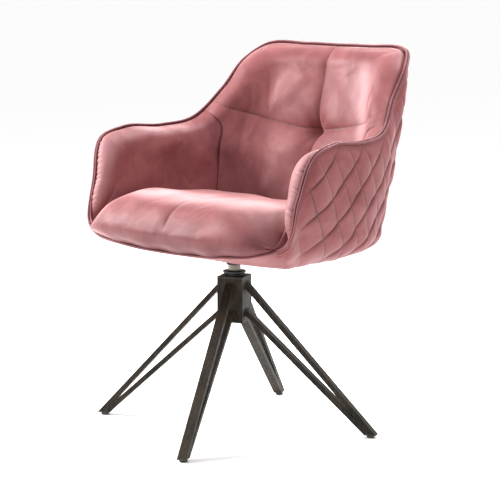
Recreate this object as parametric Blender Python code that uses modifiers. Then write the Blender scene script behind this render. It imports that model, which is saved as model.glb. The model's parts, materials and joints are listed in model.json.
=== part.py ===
"""Swivel armchair: an upholstered bucket seat on a four-legged spider base, in metres, +Z up, facing -Y.

The origin is on the floor, under the middle of the chair's bounding box.
"""

import math

import bmesh
import bpy
import numpy as np
from mathutils import Matrix, Vector

# ---- Fits -----------------------------------------------------------------
GAP = 0.0003  # between pieces that touch
RUNNING_GAP = 0.00008  # radial, between the spindle and its bushes
SPARE = 0.01  # how far a cutter stands out of what it cuts
ROUND_SIDES = 36
SMALL_SIDES = 12

# ---- Base: hub and legs ---------------------------------------------------
BASE_TURN = math.radians(22)  # how far the base stands turned from the seat
LEG_COUNT = 4
HUB_WIDTH = 0.061
HUB_WALL = 0.003
HUB_DROP = 0.054  # from the underside of the cover to the hub tube's top
HUB_HEIGHT = 0.101
CAP_THICKNESS = 0.003
BOTTOM_PLATE_THICKNESS = 0.004
PLATE_CORNER_RADIUS = 0.012
BOTTOM_PLATE_RECESS = 0.016

BAR_WIDTH = 0.021
BAR_THICKNESS = 0.011
BAR_WALL = 0.0015
BAR_EDGE_RADIUS = 0.0012
BAR_SOLID_END = 0.030  # the foot end, which is closed and solid
BAR_SPARE = 0.06  # cut off a bar's ends to fit the hub and the floor
UPPER_BAR_DROP = 0.010  # from the hub tube's top edge to the upper bar's top edge
LOWER_BAR_RISE = 0.014  # from the hub tube's bottom edge to the lower bar's bottom edge
FOOT_REACH = 0.336  # swivel axis to the outer tip of the foot
FOOT_LENGTH = 0.028
GLIDE_RADIUS = 0.009
GLIDE_HEIGHT = 0.0057
GLIDE_STEM_RADIUS = 0.003
GLIDE_CHAMFER = 0.001
GLIDE_SIDES = 18
FOOT_PLATE_THICKNESS = 0.0012

# ---- Swivel ---------------------------------------------------------------
JOURNAL_RADIUS = 0.012  # where the spindle runs in its bushes
SPINDLE_RADIUS = JOURNAL_RADIUS + 0.0025  # the bare length between cup and collar
SPINDLE_END_RISE = 0.004  # spindle's lower end above the hub's lower edge
SHOULDER_RADIUS = JOURNAL_RADIUS + 0.0075
SHOULDER_HEIGHT = 0.0012
BUSH_WALL = 0.002
BUSH_LENGTH = 0.014
RACE_RADIUS = JOURNAL_RADIUS + 0.0088
RACE_THICKNESS = 0.0015
CUP_RECESS_RADIUS = RACE_RADIUS + 0.0005
CUP_RADIUS = RACE_RADIUS + 0.0022
CUP_LIP_RADIUS = RACE_RADIUS + 0.0052
CUP_LIP_HEIGHT = 0.0050
CUP_LIP_CHAMFER = 0.0010
CUP_FLOOR = 0.0014
BALL_RADIUS = 0.0020
BALL_COUNT = 8
BALL_CLEARANCE = 0.0001
CAGE_THICKNESS = 0.0014
POCKET_CLEARANCE = 0.00015
RING_THICKNESS = 0.0012
RING_RADIUS = JOURNAL_RADIUS + 0.0035
RING_GROOVE = 0.0010
WASHER_RADIUS = JOURNAL_RADIUS + 0.0055
WASHER_THICKNESS = 0.0015
COLLAR_RADIUS = SPINDLE_RADIUS + 0.0040
COLLAR_BOTTOM_RISE = 0.0140  # from the bearing cup's top to the collar's lower end
COLLAR_CHAMFER = 0.0008
SPINDLE_CHAMFER = 0.0010

# ---- Upholstered body -----------------------------------------------------
BODY_UNDERSIDE = 0.400  # floor to the underside of the cover
BODY_WIDTH = 0.632  # across the rim, at the arms
BODY_DEPTH = 0.584  # rim, front to back
BODY_HEIGHT = 0.450  # underside to the top of the rim
FRONT_OVERHANG = 0.208  # rim's front to the swivel axis
WALL_BULGE = 0.011  # how far the quilted wall stands out beyond the rim
WALL_SWELL = ((0, 0), (0.14, 0.9), (0.5, 1.0), (0.8, 0.5))  # shares of the way down and of that bulge
WALL_BLEND = 0.045  # rounding where the wall turns under
TUCK = 0.054  # from the knee to the flat edge under the seat
FLANGE = 0.018  # width of that flat edge
COVER_THICKNESS = 0.003
SHELL_THICKNESS = 0.006
SHELL_GAP = 0.0010  # wadding between cover and shell
PIPING_RADIUS = 0.0048
PIPING_CLEARANCE = 0.0010
PAD_THICKNESS = 0.046
PAD_BACKING_GAP = 0.003  # glue line and wadding between pad and shell
DART_GAP = 0.0012  # along the rim, between the arm pads and the back pad
PAD_CREST = 0.009  # how far the padded edge rises over the rim
PAD_SHOULDER = 0.016  # from the rim down to where the edge's roll runs into the inner face
PAD_ROLL = ((0.30, 0.33), (0.48, 1.0), (0.70, 1.0), (0.91, -0.33))  # shares of thickness and of crest
PAD_FOOT = 0.004  # how far the pad's lower edge drops below the seat line
CUSHION_GAP = 0.0012
CUSHION_CROWN = 0.033  # crown above the line where the seat meets the arms
CUSHION_FALL = 0.060  # how far the crown would fall over the whole depth of the seat
FALL_START = 0.3  # share of the depth, from the front, where that fall begins
FRONT_WAIST = 0.030  # how far inside the rim the cushion's foot stands along the front
CUSHION_WAIST = 0.016  # how far the cushion's front stands back just over the rim
CROWN_RINGS = ((0.93, 0.55), (0.80, 0.85), (0.45, 1.0))  # shares of the reach from the middle and of the rise
BOARD_THICKNESS = 0.012
BOARD_MARGIN = 0.014  # how far the board covers the shell's turned-in edge
CLOTH_THICKNESS = 0.0015
CLOTH_MARGIN = 0.002  # from the shell's turned-in edge to the underside cover's

PLATE_WIDTH = 0.180
PLATE_THICKNESS = 0.004
BOLT_SPACING = 0.140
BOLT_RADIUS = 0.0038
BOLT_HEAD_RADIUS = 0.0068
BOLT_HEAD_HEIGHT = 0.0040
BOLT_CHAMFER = 0.0012
SOCKET_RADIUS = 0.0030
SOCKET_DEPTH = 0.0022
BOLT_CLEARANCE = 0.0005  # radial, in the plate
CLOTH_CLEARANCE = 0.0008  # radial, in the underside cover
THREAD_CLEARANCE = 0.0002
NUT_BARREL_RADIUS = 0.0051
NUT_FLANGE_RADIUS = 0.0090
NUT_FLANGE_THICKNESS = 0.0015
NUT_RECESS = 0.001  # from the board's faces to the ends of nut barrel and bolt

# Guide points of the right half, from the middle of the front round to the middle of the back. Each is
# (x, y, z) in shares of half the body's width, its depth and its height. The lists go station by station.
RIM = (
    (0.000, 0.005, 0.051),
    (0.440, 0.000, 0.064),
    (0.760, 0.024, 0.091),
    (0.922, 0.070, 0.135),
    (0.962, 0.118, 0.347),
    (1.000, 0.180, 0.549),
    (0.988, 0.288, 0.591),
    (0.965, 0.485, 0.584),
    (0.905, 0.649, 0.613),
    (0.812, 0.776, 0.760),
    (0.763, 0.887, 0.911),
    (0.668, 0.962, 0.985),
    (0.285, 0.991, 1.000),
    (0.000, 1.000, 0.998),
)
KNEE = (  # the corner, before it is rounded, where the wall turns under
    (0.000, 0.075, 0.030),
    (0.432, 0.072, 0.040),
    (0.728, 0.088, 0.058),
    (0.873, 0.112, 0.066),
    (0.905, 0.185, 0.082),
    (0.911, 0.322, 0.076),
    (0.908, 0.442, 0.062),
    (0.880, 0.579, 0.042),
    (0.800, 0.692, 0.024),
    (0.718, 0.757, 0.010),
    (0.605, 0.804, 0.005),
    (0.440, 0.832, 0.002),
    (0.195, 0.849, 0.000),
    (0.000, 0.853, 0.000),
)
SEAT_LINE = (  # where the seat cushion meets the rim's front, the arms and the back
    (0.000, -0.050, 0.150),
    (0.437, -0.047, 0.155),
    (0.745, -0.008, 0.150),
    (0.862, 0.050, 0.128),
    (0.846, 0.112, 0.178),
    (0.820, 0.210, 0.228),
    (0.797, 0.305, 0.232),
    (0.764, 0.468, 0.220),
    (0.687, 0.620, 0.208),
    (0.589, 0.676, 0.203),
    (0.478, 0.707, 0.200),
    (0.350, 0.726, 0.198),
    (0.160, 0.741, 0.197),
    (0.000, 0.743, 0.197),
)
SAMPLES_PER_STATION = 3
FRONT_CORNER_STATION = 3
ARM_START_STATION = 3 + 2 / 3
DART_STATION = 8 + 1 / 3  # where the padded arm ends and the padded back starts

# ---- Levels worked out from the sizes above -------------------------------
HUB_TOP = BODY_UNDERSIDE - HUB_DROP
HUB_BOTTOM = HUB_TOP - HUB_HEIGHT
CAP_BOTTOM = HUB_TOP + GAP
CUP_BOTTOM = CAP_BOTTOM + CAP_THICKNESS + GAP
LOWER_RACE_BOTTOM = CUP_BOTTOM + CUP_FLOOR + GAP
BALL_LEVEL = LOWER_RACE_BOTTOM + RACE_THICKNESS + BALL_CLEARANCE + BALL_RADIUS
UPPER_RACE_BOTTOM = BALL_LEVEL + BALL_RADIUS + BALL_CLEARANCE
SHOULDER_BOTTOM = UPPER_RACE_BOTTOM + RACE_THICKNESS + GAP
CUP_TOP = SHOULDER_BOTTOM + SHOULDER_HEIGHT
COLLAR_BOTTOM = CUP_TOP + COLLAR_BOTTOM_RISE
PITCH_RADIUS = (JOURNAL_RADIUS + RACE_RADIUS) / 2
SHELL_BOTTOM = BODY_UNDERSIDE + COVER_THICKNESS + SHELL_GAP
BOARD_BOTTOM = SHELL_BOTTOM + SHELL_THICKNESS + GAP
BOARD_TOP = BOARD_BOTTOM + BOARD_THICKNESS
CLOTH_BOTTOM = BOARD_BOTTOM - GAP - CLOTH_THICKNESS
PLATE_TOP = CLOTH_BOTTOM - GAP
PLATE_BOTTOM = PLATE_TOP - PLATE_THICKNESS
FOOT_LEVEL = GLIDE_HEIGHT + FOOT_PLATE_THICKNESS + 2 * GAP
GLIDE_CIRCLE = FOOT_REACH - FOOT_LENGTH / 2

# The rear of the rim and the feet at the front bound the chair, and the origin lies halfway between them.
REAR_REACH = BODY_DEPTH - FRONT_OVERHANG + PIPING_RADIUS
FRONT_REACH = FOOT_REACH * math.cos(BASE_TURN) + BAR_WIDTH / 2 * math.sin(BASE_TURN)
AXIS_Y = round((FRONT_REACH - REAR_REACH) / 2, 4)


# ---- Scene helpers --------------------------------------------------------
def clear_scene():
    for obj in list(bpy.data.objects):
        bpy.data.objects.remove(obj, do_unlink=True)


def new_collection(name):
    collection = bpy.data.collections.new(name)
    bpy.context.scene.collection.children.link(collection)
    return collection


def make_material(name, colour, roughness, metallic=0.0):
    material = bpy.data.materials.new(name)
    material.use_nodes = True
    shader = material.node_tree.nodes["Principled BSDF"]
    shader.inputs["Base Color"].default_value = (*colour, 1.0)
    shader.inputs["Roughness"].default_value = roughness
    shader.inputs["Metallic"].default_value = metallic
    material.diffuse_color = (*colour, 1.0)
    return material


def place(name, mesh, material, parent, matrix=None):
    """A named part that holds the mesh, parented to the body that it moves with."""
    obj = bpy.data.objects.new(name, mesh)
    PARTS.objects.link(obj)
    if not mesh.materials:
        mesh.materials.append(material)
    obj.parent = parent
    obj.matrix_local = matrix or Matrix.Identity(4)
    return obj


def pivot(name, location, turn=0.0):
    empty = bpy.data.objects.new(name, None)
    PARTS.objects.link(empty)
    empty.location = location
    empty.rotation_euler = (0, 0, turn)
    return empty


def cutter(mesh, matrix=None):
    obj = bpy.data.objects.new(mesh.name, mesh)
    CUTTERS.objects.link(obj)
    obj.matrix_world = matrix or Matrix.Identity(4)
    obj.hide_render = True
    obj.display_type = "WIRE"
    return obj


def cut(obj, tool):
    modifier = obj.modifiers.new("cut by " + tool.name, "BOOLEAN")
    modifier.operation = "DIFFERENCE"
    modifier.object = tool


def baked(obj):
    """The mesh of the object with its modifiers applied; the object itself is removed."""
    graph = bpy.context.evaluated_depsgraph_get()
    mesh = bpy.data.meshes.new_from_object(obj.evaluated_get(graph))
    mesh.name = obj.name
    bpy.data.objects.remove(obj, do_unlink=True)
    return mesh


# ---- Shape helpers --------------------------------------------------------
def block(name, low, high):
    low = Vector(low)
    high = Vector(high)
    size = high - low
    form = bmesh.new()
    bmesh.ops.create_cube(form, size=1.0)
    bmesh.ops.scale(form, vec=size, verts=form.verts)
    bmesh.ops.translate(form, vec=(low + high) / 2, verts=form.verts)
    mesh = bpy.data.meshes.new(name)
    form.to_mesh(mesh)
    form.free()
    return mesh


def cylinder(name, radius, low, high, sides=ROUND_SIDES):
    form = bmesh.new()
    middle = Matrix.Translation((0, 0, (low + high) / 2))
    bmesh.ops.create_cone(
        form, cap_ends=True, segments=sides, radius1=radius, radius2=radius, depth=high - low, matrix=middle
    )
    mesh = bpy.data.meshes.new(name)
    form.to_mesh(mesh)
    form.free()
    return mesh


def turned(name, profile, material, parent, closed=True, sides=ROUND_SIDES):
    """A turned piece: the profile's (radius, height) points run down its outer side."""
    mesh = bpy.data.meshes.new(name)
    edges = [(i, i + 1) for i in range(len(profile) - 1)]
    if closed:
        edges.append((len(profile) - 1, 0))
    mesh.from_pydata([(radius, 0, height) for radius, height in profile], edges, [])
    obj = place(name, mesh, material, parent)
    screw = obj.modifiers.new("turn", "SCREW")
    screw.angle = 2 * math.pi
    screw.steps = sides
    screw.render_steps = sides
    screw.use_merge_vertices = True
    screw.merge_threshold = 0.00001
    return obj


def ring_profile(inner, outer, low, high, chamfer=0.0):
    if not chamfer:
        return [(inner, high), (outer, high), (outer, low), (inner, low)]
    return [
        (inner, high),
        (outer - chamfer, high),
        (outer, high - chamfer),
        (outer, low + chamfer),
        (outer - chamfer, low),
        (inner, low),
    ]


def shade_round(mesh, angle=math.radians(35)):
    mesh.shade_smooth()
    mesh.set_sharp_from_angle(angle=angle)


def skin(name, grid, close_rows):
    """A mesh over grid[column][row]. Columns close into a loop; rows close too where asked."""
    columns, rows = len(grid), len(grid[0])
    last = rows if close_rows else rows - 1
    faces = []
    for i in range(columns):
        for j in range(last):
            a, b = i * rows, (i + 1) % columns * rows
            faces.append((a + j, a + (j + 1) % rows, b + (j + 1) % rows, b + j))
    mesh = bpy.data.meshes.new(name)
    mesh.from_pydata([tuple(point) for column in grid for point in column], [], faces)
    mesh.shade_smooth()
    return mesh


def loft(name, sections):
    """A solid through closed sections, each a loop of the same number of points, with a cap on each end."""
    count = len(sections[0])
    faces = []
    for i in range(len(sections) - 1):
        for j in range(count):
            a, b, k = i * count, (i + 1) * count, (j + 1) % count
            faces.append((a + j, b + j, b + k, a + k))
    faces.append(tuple(range(count)))
    faces.append(tuple(reversed(range((len(sections) - 1) * count, len(sections) * count))))
    mesh = bpy.data.meshes.new(name)
    mesh.from_pydata([tuple(point) for section in sections for point in section], [], faces)
    form = bmesh.new()
    form.from_mesh(mesh)
    bmesh.ops.triangulate(form, faces=form.faces)
    bmesh.ops.recalc_face_normals(form, faces=form.faces)
    form.to_mesh(mesh)
    form.free()
    shade_round(mesh)
    return mesh


# ---- Guide curves of the upholstered body ---------------------------------
def whole_loop(shares):
    """The right half's guide points in metres from the swivel axis, and their mirror images, as one loop."""
    right = np.array(shares) * (BODY_WIDTH / 2, BODY_DEPTH, BODY_HEIGHT) + (0, -FRONT_OVERHANG, BODY_UNDERSIDE)
    left = right[-2:0:-1] * (-1, 1, 1)
    return np.concatenate([right, left])


def smooth_loop(points, spans):
    """Samples of a smooth closed curve through the points; spans are the stations' distances along the rim."""
    before = np.roll(spans, 1)[:, None]
    after = spans[:, None]
    step_back = (points - np.roll(points, 1, axis=0)) / before
    step_on = (np.roll(points, -1, axis=0) - points) / after
    slope = (step_back * after + step_on * before) / (before + after)
    next_points = np.roll(points, -1, axis=0)
    next_slope = np.roll(slope, -1, axis=0)
    samples = []
    for k in range(SAMPLES_PER_STATION):
        t = k / SAMPLES_PER_STATION
        samples.append(
            (2 * t**3 - 3 * t**2 + 1) * points
            + (t**3 - 2 * t**2 + t) * after * slope
            + (3 * t**2 - 2 * t**3) * next_points
            + (t**3 - t**2) * after * next_slope
        )
    return np.stack(samples, axis=1).reshape(-1, 3)


def unit(vectors):
    return vectors / np.linalg.norm(vectors, axis=-1, keepdims=True)


def outward_of(loop):
    """Horizontal unit vectors that point out of a loop which runs anticlockwise seen from above."""
    along = np.roll(loop, -1, axis=0) - np.roll(loop, 1, axis=0)
    return unit(np.stack([along[:, 1], -along[:, 0], np.zeros(len(loop))], axis=1))


def shrunk(loop, distance):
    """The loop drawn in towards its middle by the distance at its widest places, level with itself."""
    low = loop[:, :2].min(axis=0)
    high = loop[:, :2].max(axis=0)
    middle = (low + high) / 2
    drawn_in = loop.copy()
    drawn_in[:, :2] = middle + (loop[:, :2] - middle) * (1 - distance / (high - middle))
    return drawn_in


class Guides:
    """The body's guide curves, sampled at the same columns all the way round."""

    def __init__(self):
        rim = whole_loop(RIM)
        spans = np.linalg.norm(np.roll(rim, -1, axis=0) - rim, axis=1)
        self.rim = smooth_loop(rim, spans)
        self.knee = smooth_loop(whole_loop(KNEE), spans)
        self.seat = smooth_loop(whole_loop(SEAT_LINE), spans)
        self.count = len(self.rim)
        self.outward = outward_of(self.knee)
        self.under = shrunk(self.knee, TUCK)
        self.under[:, 2] = BODY_UNDERSIDE
        self.lip = shrunk(self.under, FLANGE)
        self.along = unit(np.roll(self.rim, -1, axis=0) - np.roll(self.rim, 1, axis=0))
        across = self.outward - self.along * np.sum(self.outward * self.along, axis=1, keepdims=True)
        self.across = unit(across)
        self.crest = np.cross(self.across, self.along)

    def column(self, station):
        return round(station * SAMPLES_PER_STATION)


def wall_profile(rim, knee, under, lip, outward, bulge, start):
    """One column of the outer surface: down the bulging wall, round the knee and in under the seat."""
    height = np.linalg.norm(rim - knee)
    blend = min(WALL_BLEND, 0.6 * (height - start))
    top = rim + (knee - rim) * start / height
    turn = knee + (rim - knee) * blend / height
    points = []
    for share, swell in WALL_SWELL:
        points.append(top + (turn - top) * share + outward * bulge * swell)
    for t in (0, 0.33, 0.67, 1.0):
        points.append((1 - t) ** 2 * turn + 2 * t * (1 - t) * knee + t**2 * under)
    points.append(lip)
    return points


def wall_grid(guides):
    front = guides.column(FRONT_CORNER_STATION)
    down = unit(guides.knee - guides.rim)
    across_rim = np.linalg.norm(np.cross(guides.along, down), axis=1)
    grid = []
    for i in range(guides.count):
        from_front = min(i, guides.count - i)
        rise = min(1.0, max(0.0, (from_front - front) / (2 * SAMPLES_PER_STATION)))
        grid.append(
            wall_profile(
                guides.rim[i],
                guides.knee[i],
                guides.under[i],
                guides.lip[i],
                guides.outward[i],
                WALL_BULGE * rise,
                (PIPING_RADIUS + PIPING_CLEARANCE) / across_rim[i],
            )
        )
    return np.array(grid)


def inset(grid, distance):
    """The grid moved inwards by the distance, square to its own surface."""
    round_loop = np.roll(grid, -1, axis=0) - np.roll(grid, 1, axis=0)
    down = np.gradient(grid, axis=1)
    return grid + unit(np.cross(round_loop, down)) * distance


# ---- Base parts -----------------------------------------------------------
def add_hub(base):
    half = HUB_WIDTH / 2
    inner = half - HUB_WALL
    hub = place("hub_tube", block("hub_tube", (-half, -half, HUB_BOTTOM), (half, half, HUB_TOP)), BRONZE, base)
    bore = cutter(block("hub bore", (-inner, -inner, HUB_BOTTOM - SPARE), (inner, inner, HUB_TOP + SPARE)))
    bore.parent = base
    cut(hub, bore)

    bush_hole = cutter(cylinder("bush hole", JOURNAL_RADIUS + BUSH_WALL + GAP, HUB_BOTTOM, CUP_TOP))
    bush_hole.parent = base
    cap_top = CAP_BOTTOM + CAP_THICKNESS
    cap = place("hub_cap_plate", block("cap", (-half, -half, CAP_BOTTOM), (half, half, cap_top)), BRONZE, base)
    cut(cap, bush_hole)

    fit = inner - GAP
    low = HUB_BOTTOM + BOTTOM_PLATE_RECESS
    plate = block("bottom plate", (-fit, -fit, low), (fit, fit, low + BOTTOM_PLATE_THICKNESS))
    cut(place("hub_bottom_plate", plate, BRONZE, base), bush_hole)


def bar_line(upper):
    """(inner end, outer end) of a bar's outer edge line in the leg's plane, as (distance from axis, height)."""
    start = HUB_WIDTH / 2
    if upper:
        return Vector((start, HUB_TOP - UPPER_BAR_DROP)), Vector((FOOT_REACH, FOOT_LEVEL))
    return Vector((start, HUB_BOTTOM + LOWER_BAR_RISE)), Vector((FOOT_REACH - FOOT_LENGTH, FOOT_LEVEL))


def bar_frame(upper):
    """Matrix with +X down along the bar, its outer edge line at z = 0 and its thickness towards -Z."""
    inner, outer = bar_line(upper)
    slope = math.atan2(inner.y - outer.y, outer.x - inner.x)
    turn = Matrix.Rotation(slope, 4, "Y")
    sign = 1 if upper else -1
    return Matrix.Translation((inner.x, 0, inner.y)) @ turn @ Matrix.Diagonal((1, 1, sign, 1))


def bar_mesh(name, upper):
    inner, outer = bar_line(upper)
    length = (outer - inner).length
    half = BAR_WIDTH / 2
    form = bmesh.new()
    form.from_mesh(block(name, (-BAR_SPARE, -half, -BAR_THICKNESS), (length + BAR_SPARE, half, 0)))
    long_edges = [e for e in form.edges if abs((e.verts[0].co - e.verts[1].co).x) > length]
    bmesh.ops.bevel(form, geom=long_edges, offset=BAR_EDGE_RADIUS, segments=3, affect="EDGES", profile=0.5)
    bmesh.ops.transform(form, matrix=bar_frame(upper), verts=form.verts)
    bmesh.ops.recalc_face_normals(form, faces=form.faces)
    mesh = bpy.data.meshes.new(name)
    form.to_mesh(mesh)
    form.free()
    obj = bpy.data.objects.new(name, mesh)
    PARTS.objects.link(obj)

    reach = half - BAR_WALL
    hollow_low = (-2 * BAR_SPARE, -reach, BAR_WALL - BAR_THICKNESS)
    hollow = block(name + " hollow", hollow_low, (length - BAR_SOLID_END, reach, -BAR_WALL))
    hollow_form = bmesh.new()
    hollow_form.from_mesh(hollow)
    bmesh.ops.transform(hollow_form, matrix=bar_frame(upper), verts=hollow_form.verts)
    bmesh.ops.recalc_face_normals(hollow_form, faces=hollow_form.faces)
    hollow_form.to_mesh(hollow)
    hollow_form.free()
    cut(obj, cutter(hollow))

    big = 0.2
    face = HUB_WIDTH / 2 + GAP
    cut(obj, cutter(block(name + " hub side", (face - big, -big, 0), (face, big, 2 * HUB_TOP))))
    floor_low = (0, -big, FOOT_LEVEL - big)
    cut(obj, cutter(block(name + " floor side", floor_low, (big + FOOT_REACH, big, FOOT_LEVEL))))
    if not upper:
        above = block(name + " weld side", (-big, -big, -BAR_THICKNESS - GAP), (1.0, big, big))
        cut(obj, cutter(above, bar_frame(True)))
    bpy.context.view_layer.update()
    mesh = baked(obj)
    shade_round(mesh)
    return mesh


def add_legs(base):
    upper = bar_mesh("leg_upper_bar", True)
    lower = bar_mesh("leg_lower_bar", False)
    plate_low = GLIDE_HEIGHT + GAP
    plate = block(
        "foot_plate",
        (FOOT_REACH - FOOT_LENGTH, -BAR_WIDTH / 2, plate_low),
        (FOOT_REACH, BAR_WIDTH / 2, plate_low + FOOT_PLATE_THICKNESS),
    )
    plate_obj = bpy.data.objects.new("foot_plate", plate)
    PARTS.objects.link(plate_obj)
    hole = cylinder("glide hole", GLIDE_STEM_RADIUS + GAP, 0, 2 * plate_low, GLIDE_SIDES)
    cut(plate_obj, cutter(hole, Matrix.Translation((GLIDE_CIRCLE, 0, 0))))
    bpy.context.view_layer.update()
    plate = baked(plate_obj)
    stem_top = plate_low + FOOT_PLATE_THICKNESS
    glide_profile = [
        (0, stem_top),
        (GLIDE_STEM_RADIUS, stem_top),
        (GLIDE_STEM_RADIUS, GLIDE_HEIGHT),
        (GLIDE_RADIUS, GLIDE_HEIGHT),
        (GLIDE_RADIUS, GLIDE_CHAMFER),
        (GLIDE_RADIUS - GLIDE_CHAMFER, 0),
        (0, 0),
    ]
    for k in range(LEG_COUNT):
        turn = Matrix.Rotation(2 * math.pi * k / LEG_COUNT, 4, "Z")
        place(f"leg_upper_bar_{k + 1}", upper, BRONZE, base, turn)
        place(f"leg_lower_bar_{k + 1}", lower, BRONZE, base, turn)
        place(f"foot_plate_{k + 1}", plate, BRONZE, base, turn)
        glide = turned(f"floor_glide_{k + 1}", glide_profile, BLACK_PLASTIC, base, closed=False, sides=GLIDE_SIDES)
        glide.matrix_local = turn @ Matrix.Translation((GLIDE_CIRCLE, 0, 0))


def add_fixed_bearing_parts(base):
    hole = JOURNAL_RADIUS + BUSH_WALL + GAP
    cup = [
        (CUP_RECESS_RADIUS, CUP_TOP),
        (CUP_LIP_RADIUS, CUP_TOP),
        (CUP_LIP_RADIUS, CUP_TOP - CUP_LIP_HEIGHT + CUP_LIP_CHAMFER),
        (CUP_RADIUS, CUP_TOP - CUP_LIP_HEIGHT - CUP_LIP_CHAMFER),
        (CUP_RADIUS, CUP_BOTTOM),
        (hole, CUP_BOTTOM),
        (hole, CUP_BOTTOM + CUP_FLOOR),
        (CUP_RECESS_RADIUS, CUP_BOTTOM + CUP_FLOOR),
    ]
    turned("bearing_cup", cup, BLACK_PLASTIC, base)
    race_low = LOWER_RACE_BOTTOM
    race = ring_profile(JOURNAL_RADIUS + 2 * GAP, RACE_RADIUS, race_low, race_low + RACE_THICKNESS)
    turned("bearing_lower_race", race, BEARING_STEEL, base)

    bore = JOURNAL_RADIUS + RUNNING_GAP
    outer = JOURNAL_RADIUS + BUSH_WALL
    upper_top = CUP_BOTTOM + CUP_FLOOR
    turned("upper_bush", ring_profile(bore, outer, upper_top - BUSH_LENGTH, upper_top), NYLON, base)
    lower_low = HUB_BOTTOM + BOTTOM_PLATE_RECESS
    turned("lower_bush", ring_profile(bore, outer, lower_low, lower_low + BUSH_LENGTH), NYLON, base)


# ---- Bearing cage ---------------------------------------------------------
def add_cage(cage):
    ring = ring_profile(
        JOURNAL_RADIUS + 2 * GAP,
        RACE_RADIUS - GAP,
        BALL_LEVEL - CAGE_THICKNESS / 2,
        BALL_LEVEL + CAGE_THICKNESS / 2,
    )
    cage_obj = turned("ball_cage", ring, BRASS, cage)
    form = bmesh.new()
    bmesh.ops.create_uvsphere(form, u_segments=8, v_segments=6, radius=BALL_RADIUS)
    ball = bpy.data.meshes.new("bearing_ball")
    form.to_mesh(ball)
    form.free()
    ball.shade_smooth()
    pocket = cylinder("ball pocket", BALL_RADIUS + POCKET_CLEARANCE, -BALL_RADIUS, BALL_RADIUS, SMALL_SIDES)
    for k in range(BALL_COUNT):
        turn = Matrix.Rotation(2 * math.pi * k / BALL_COUNT, 4, "Z")
        seat = turn @ Matrix.Translation((PITCH_RADIUS, 0, BALL_LEVEL))
        place(f"bearing_ball_{k + 1}", ball, BEARING_STEEL, cage, seat)
        tool = cutter(pocket)
        tool.parent = cage
        tool.matrix_local = seat
        cut(cage_obj, tool)


# ---- Seat's steel and board parts -----------------------------------------
def add_spindle(seat):
    low = HUB_BOTTOM + SPINDLE_END_RISE
    washer_top = HUB_BOTTOM + BOTTOM_PLATE_RECESS - GAP
    ring_top = washer_top - WASHER_THICKNESS - GAP
    groove_top = ring_top + GAP
    groove_low = ring_top - RING_THICKNESS - GAP
    groove = JOURNAL_RADIUS - RING_GROOVE
    shoulder_top = SHOULDER_BOTTOM + SHOULDER_HEIGHT
    spindle = [
        (0, PLATE_TOP),
        (SPINDLE_RADIUS, PLATE_TOP),
        (SPINDLE_RADIUS, shoulder_top),
        (SHOULDER_RADIUS, shoulder_top),
        (SHOULDER_RADIUS, SHOULDER_BOTTOM),
        (JOURNAL_RADIUS, SHOULDER_BOTTOM),
        (JOURNAL_RADIUS, groove_top),
        (groove, groove_top),
        (groove, groove_low),
        (JOURNAL_RADIUS, groove_low),
        (JOURNAL_RADIUS, low + SPINDLE_CHAMFER),
        (JOURNAL_RADIUS - SPINDLE_CHAMFER, low),
        (0, low),
    ]
    turned("spindle", spindle, STEEL, seat, closed=False)
    washer = ring_profile(JOURNAL_RADIUS + GAP, WASHER_RADIUS, washer_top - WASHER_THICKNESS, washer_top)
    turned("spindle_washer", washer, STEEL, seat)
    clip = ring_profile(groove + GAP, RING_RADIUS, ring_top - RING_THICKNESS, ring_top)
    turned("retaining_ring", clip, BEARING_STEEL, seat)
    race_low = UPPER_RACE_BOTTOM
    race = ring_profile(JOURNAL_RADIUS + GAP, RACE_RADIUS, race_low, race_low + RACE_THICKNESS)
    turned("bearing_upper_race", race, BEARING_STEEL, seat)
    collar = ring_profile(SPINDLE_RADIUS + GAP, COLLAR_RADIUS, COLLAR_BOTTOM, PLATE_BOTTOM - GAP, COLLAR_CHAMFER)
    turned("swivel_collar", collar, BLACK_PLASTIC, seat)


def bolt_places():
    half = BOLT_SPACING / 2
    return [(x, y) for y in (-half, half) for x in (-half, half)]


def cut_at_bolts(obj, name, radius, low, high, seat):
    tool_mesh = cylinder(name, radius, low, high, SMALL_SIDES)
    for x, y in bolt_places():
        tool = cutter(tool_mesh)
        tool.parent = seat
        tool.matrix_local = Matrix.Translation((x, y, 0))
        cut(obj, tool)


def add_seat_plate(seat):
    half = PLATE_WIDTH / 2
    form = bmesh.new()
    form.from_mesh(block("seat_plate", (-half, -half, PLATE_BOTTOM), (half, half, PLATE_TOP)))
    corners = [e for e in form.edges if abs((e.verts[0].co - e.verts[1].co).z) > PLATE_THICKNESS / 2]
    bmesh.ops.bevel(form, geom=corners, offset=PLATE_CORNER_RADIUS, segments=4, affect="EDGES", profile=0.5)
    mesh = bpy.data.meshes.new("seat_plate")
    form.to_mesh(mesh)
    form.free()
    plate = place("seat_plate", mesh, BLACK_STEEL, seat)
    hole = cutter(cylinder("spindle hole", SPINDLE_RADIUS + GAP, PLATE_BOTTOM - SPARE, PLATE_TOP + SPARE))
    hole.parent = seat
    cut(plate, hole)
    cut_at_bolts(plate, "plate bolt hole", BOLT_RADIUS + BOLT_CLEARANCE, PLATE_BOTTOM - SPARE, PLATE_TOP + SPARE, seat)


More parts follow.
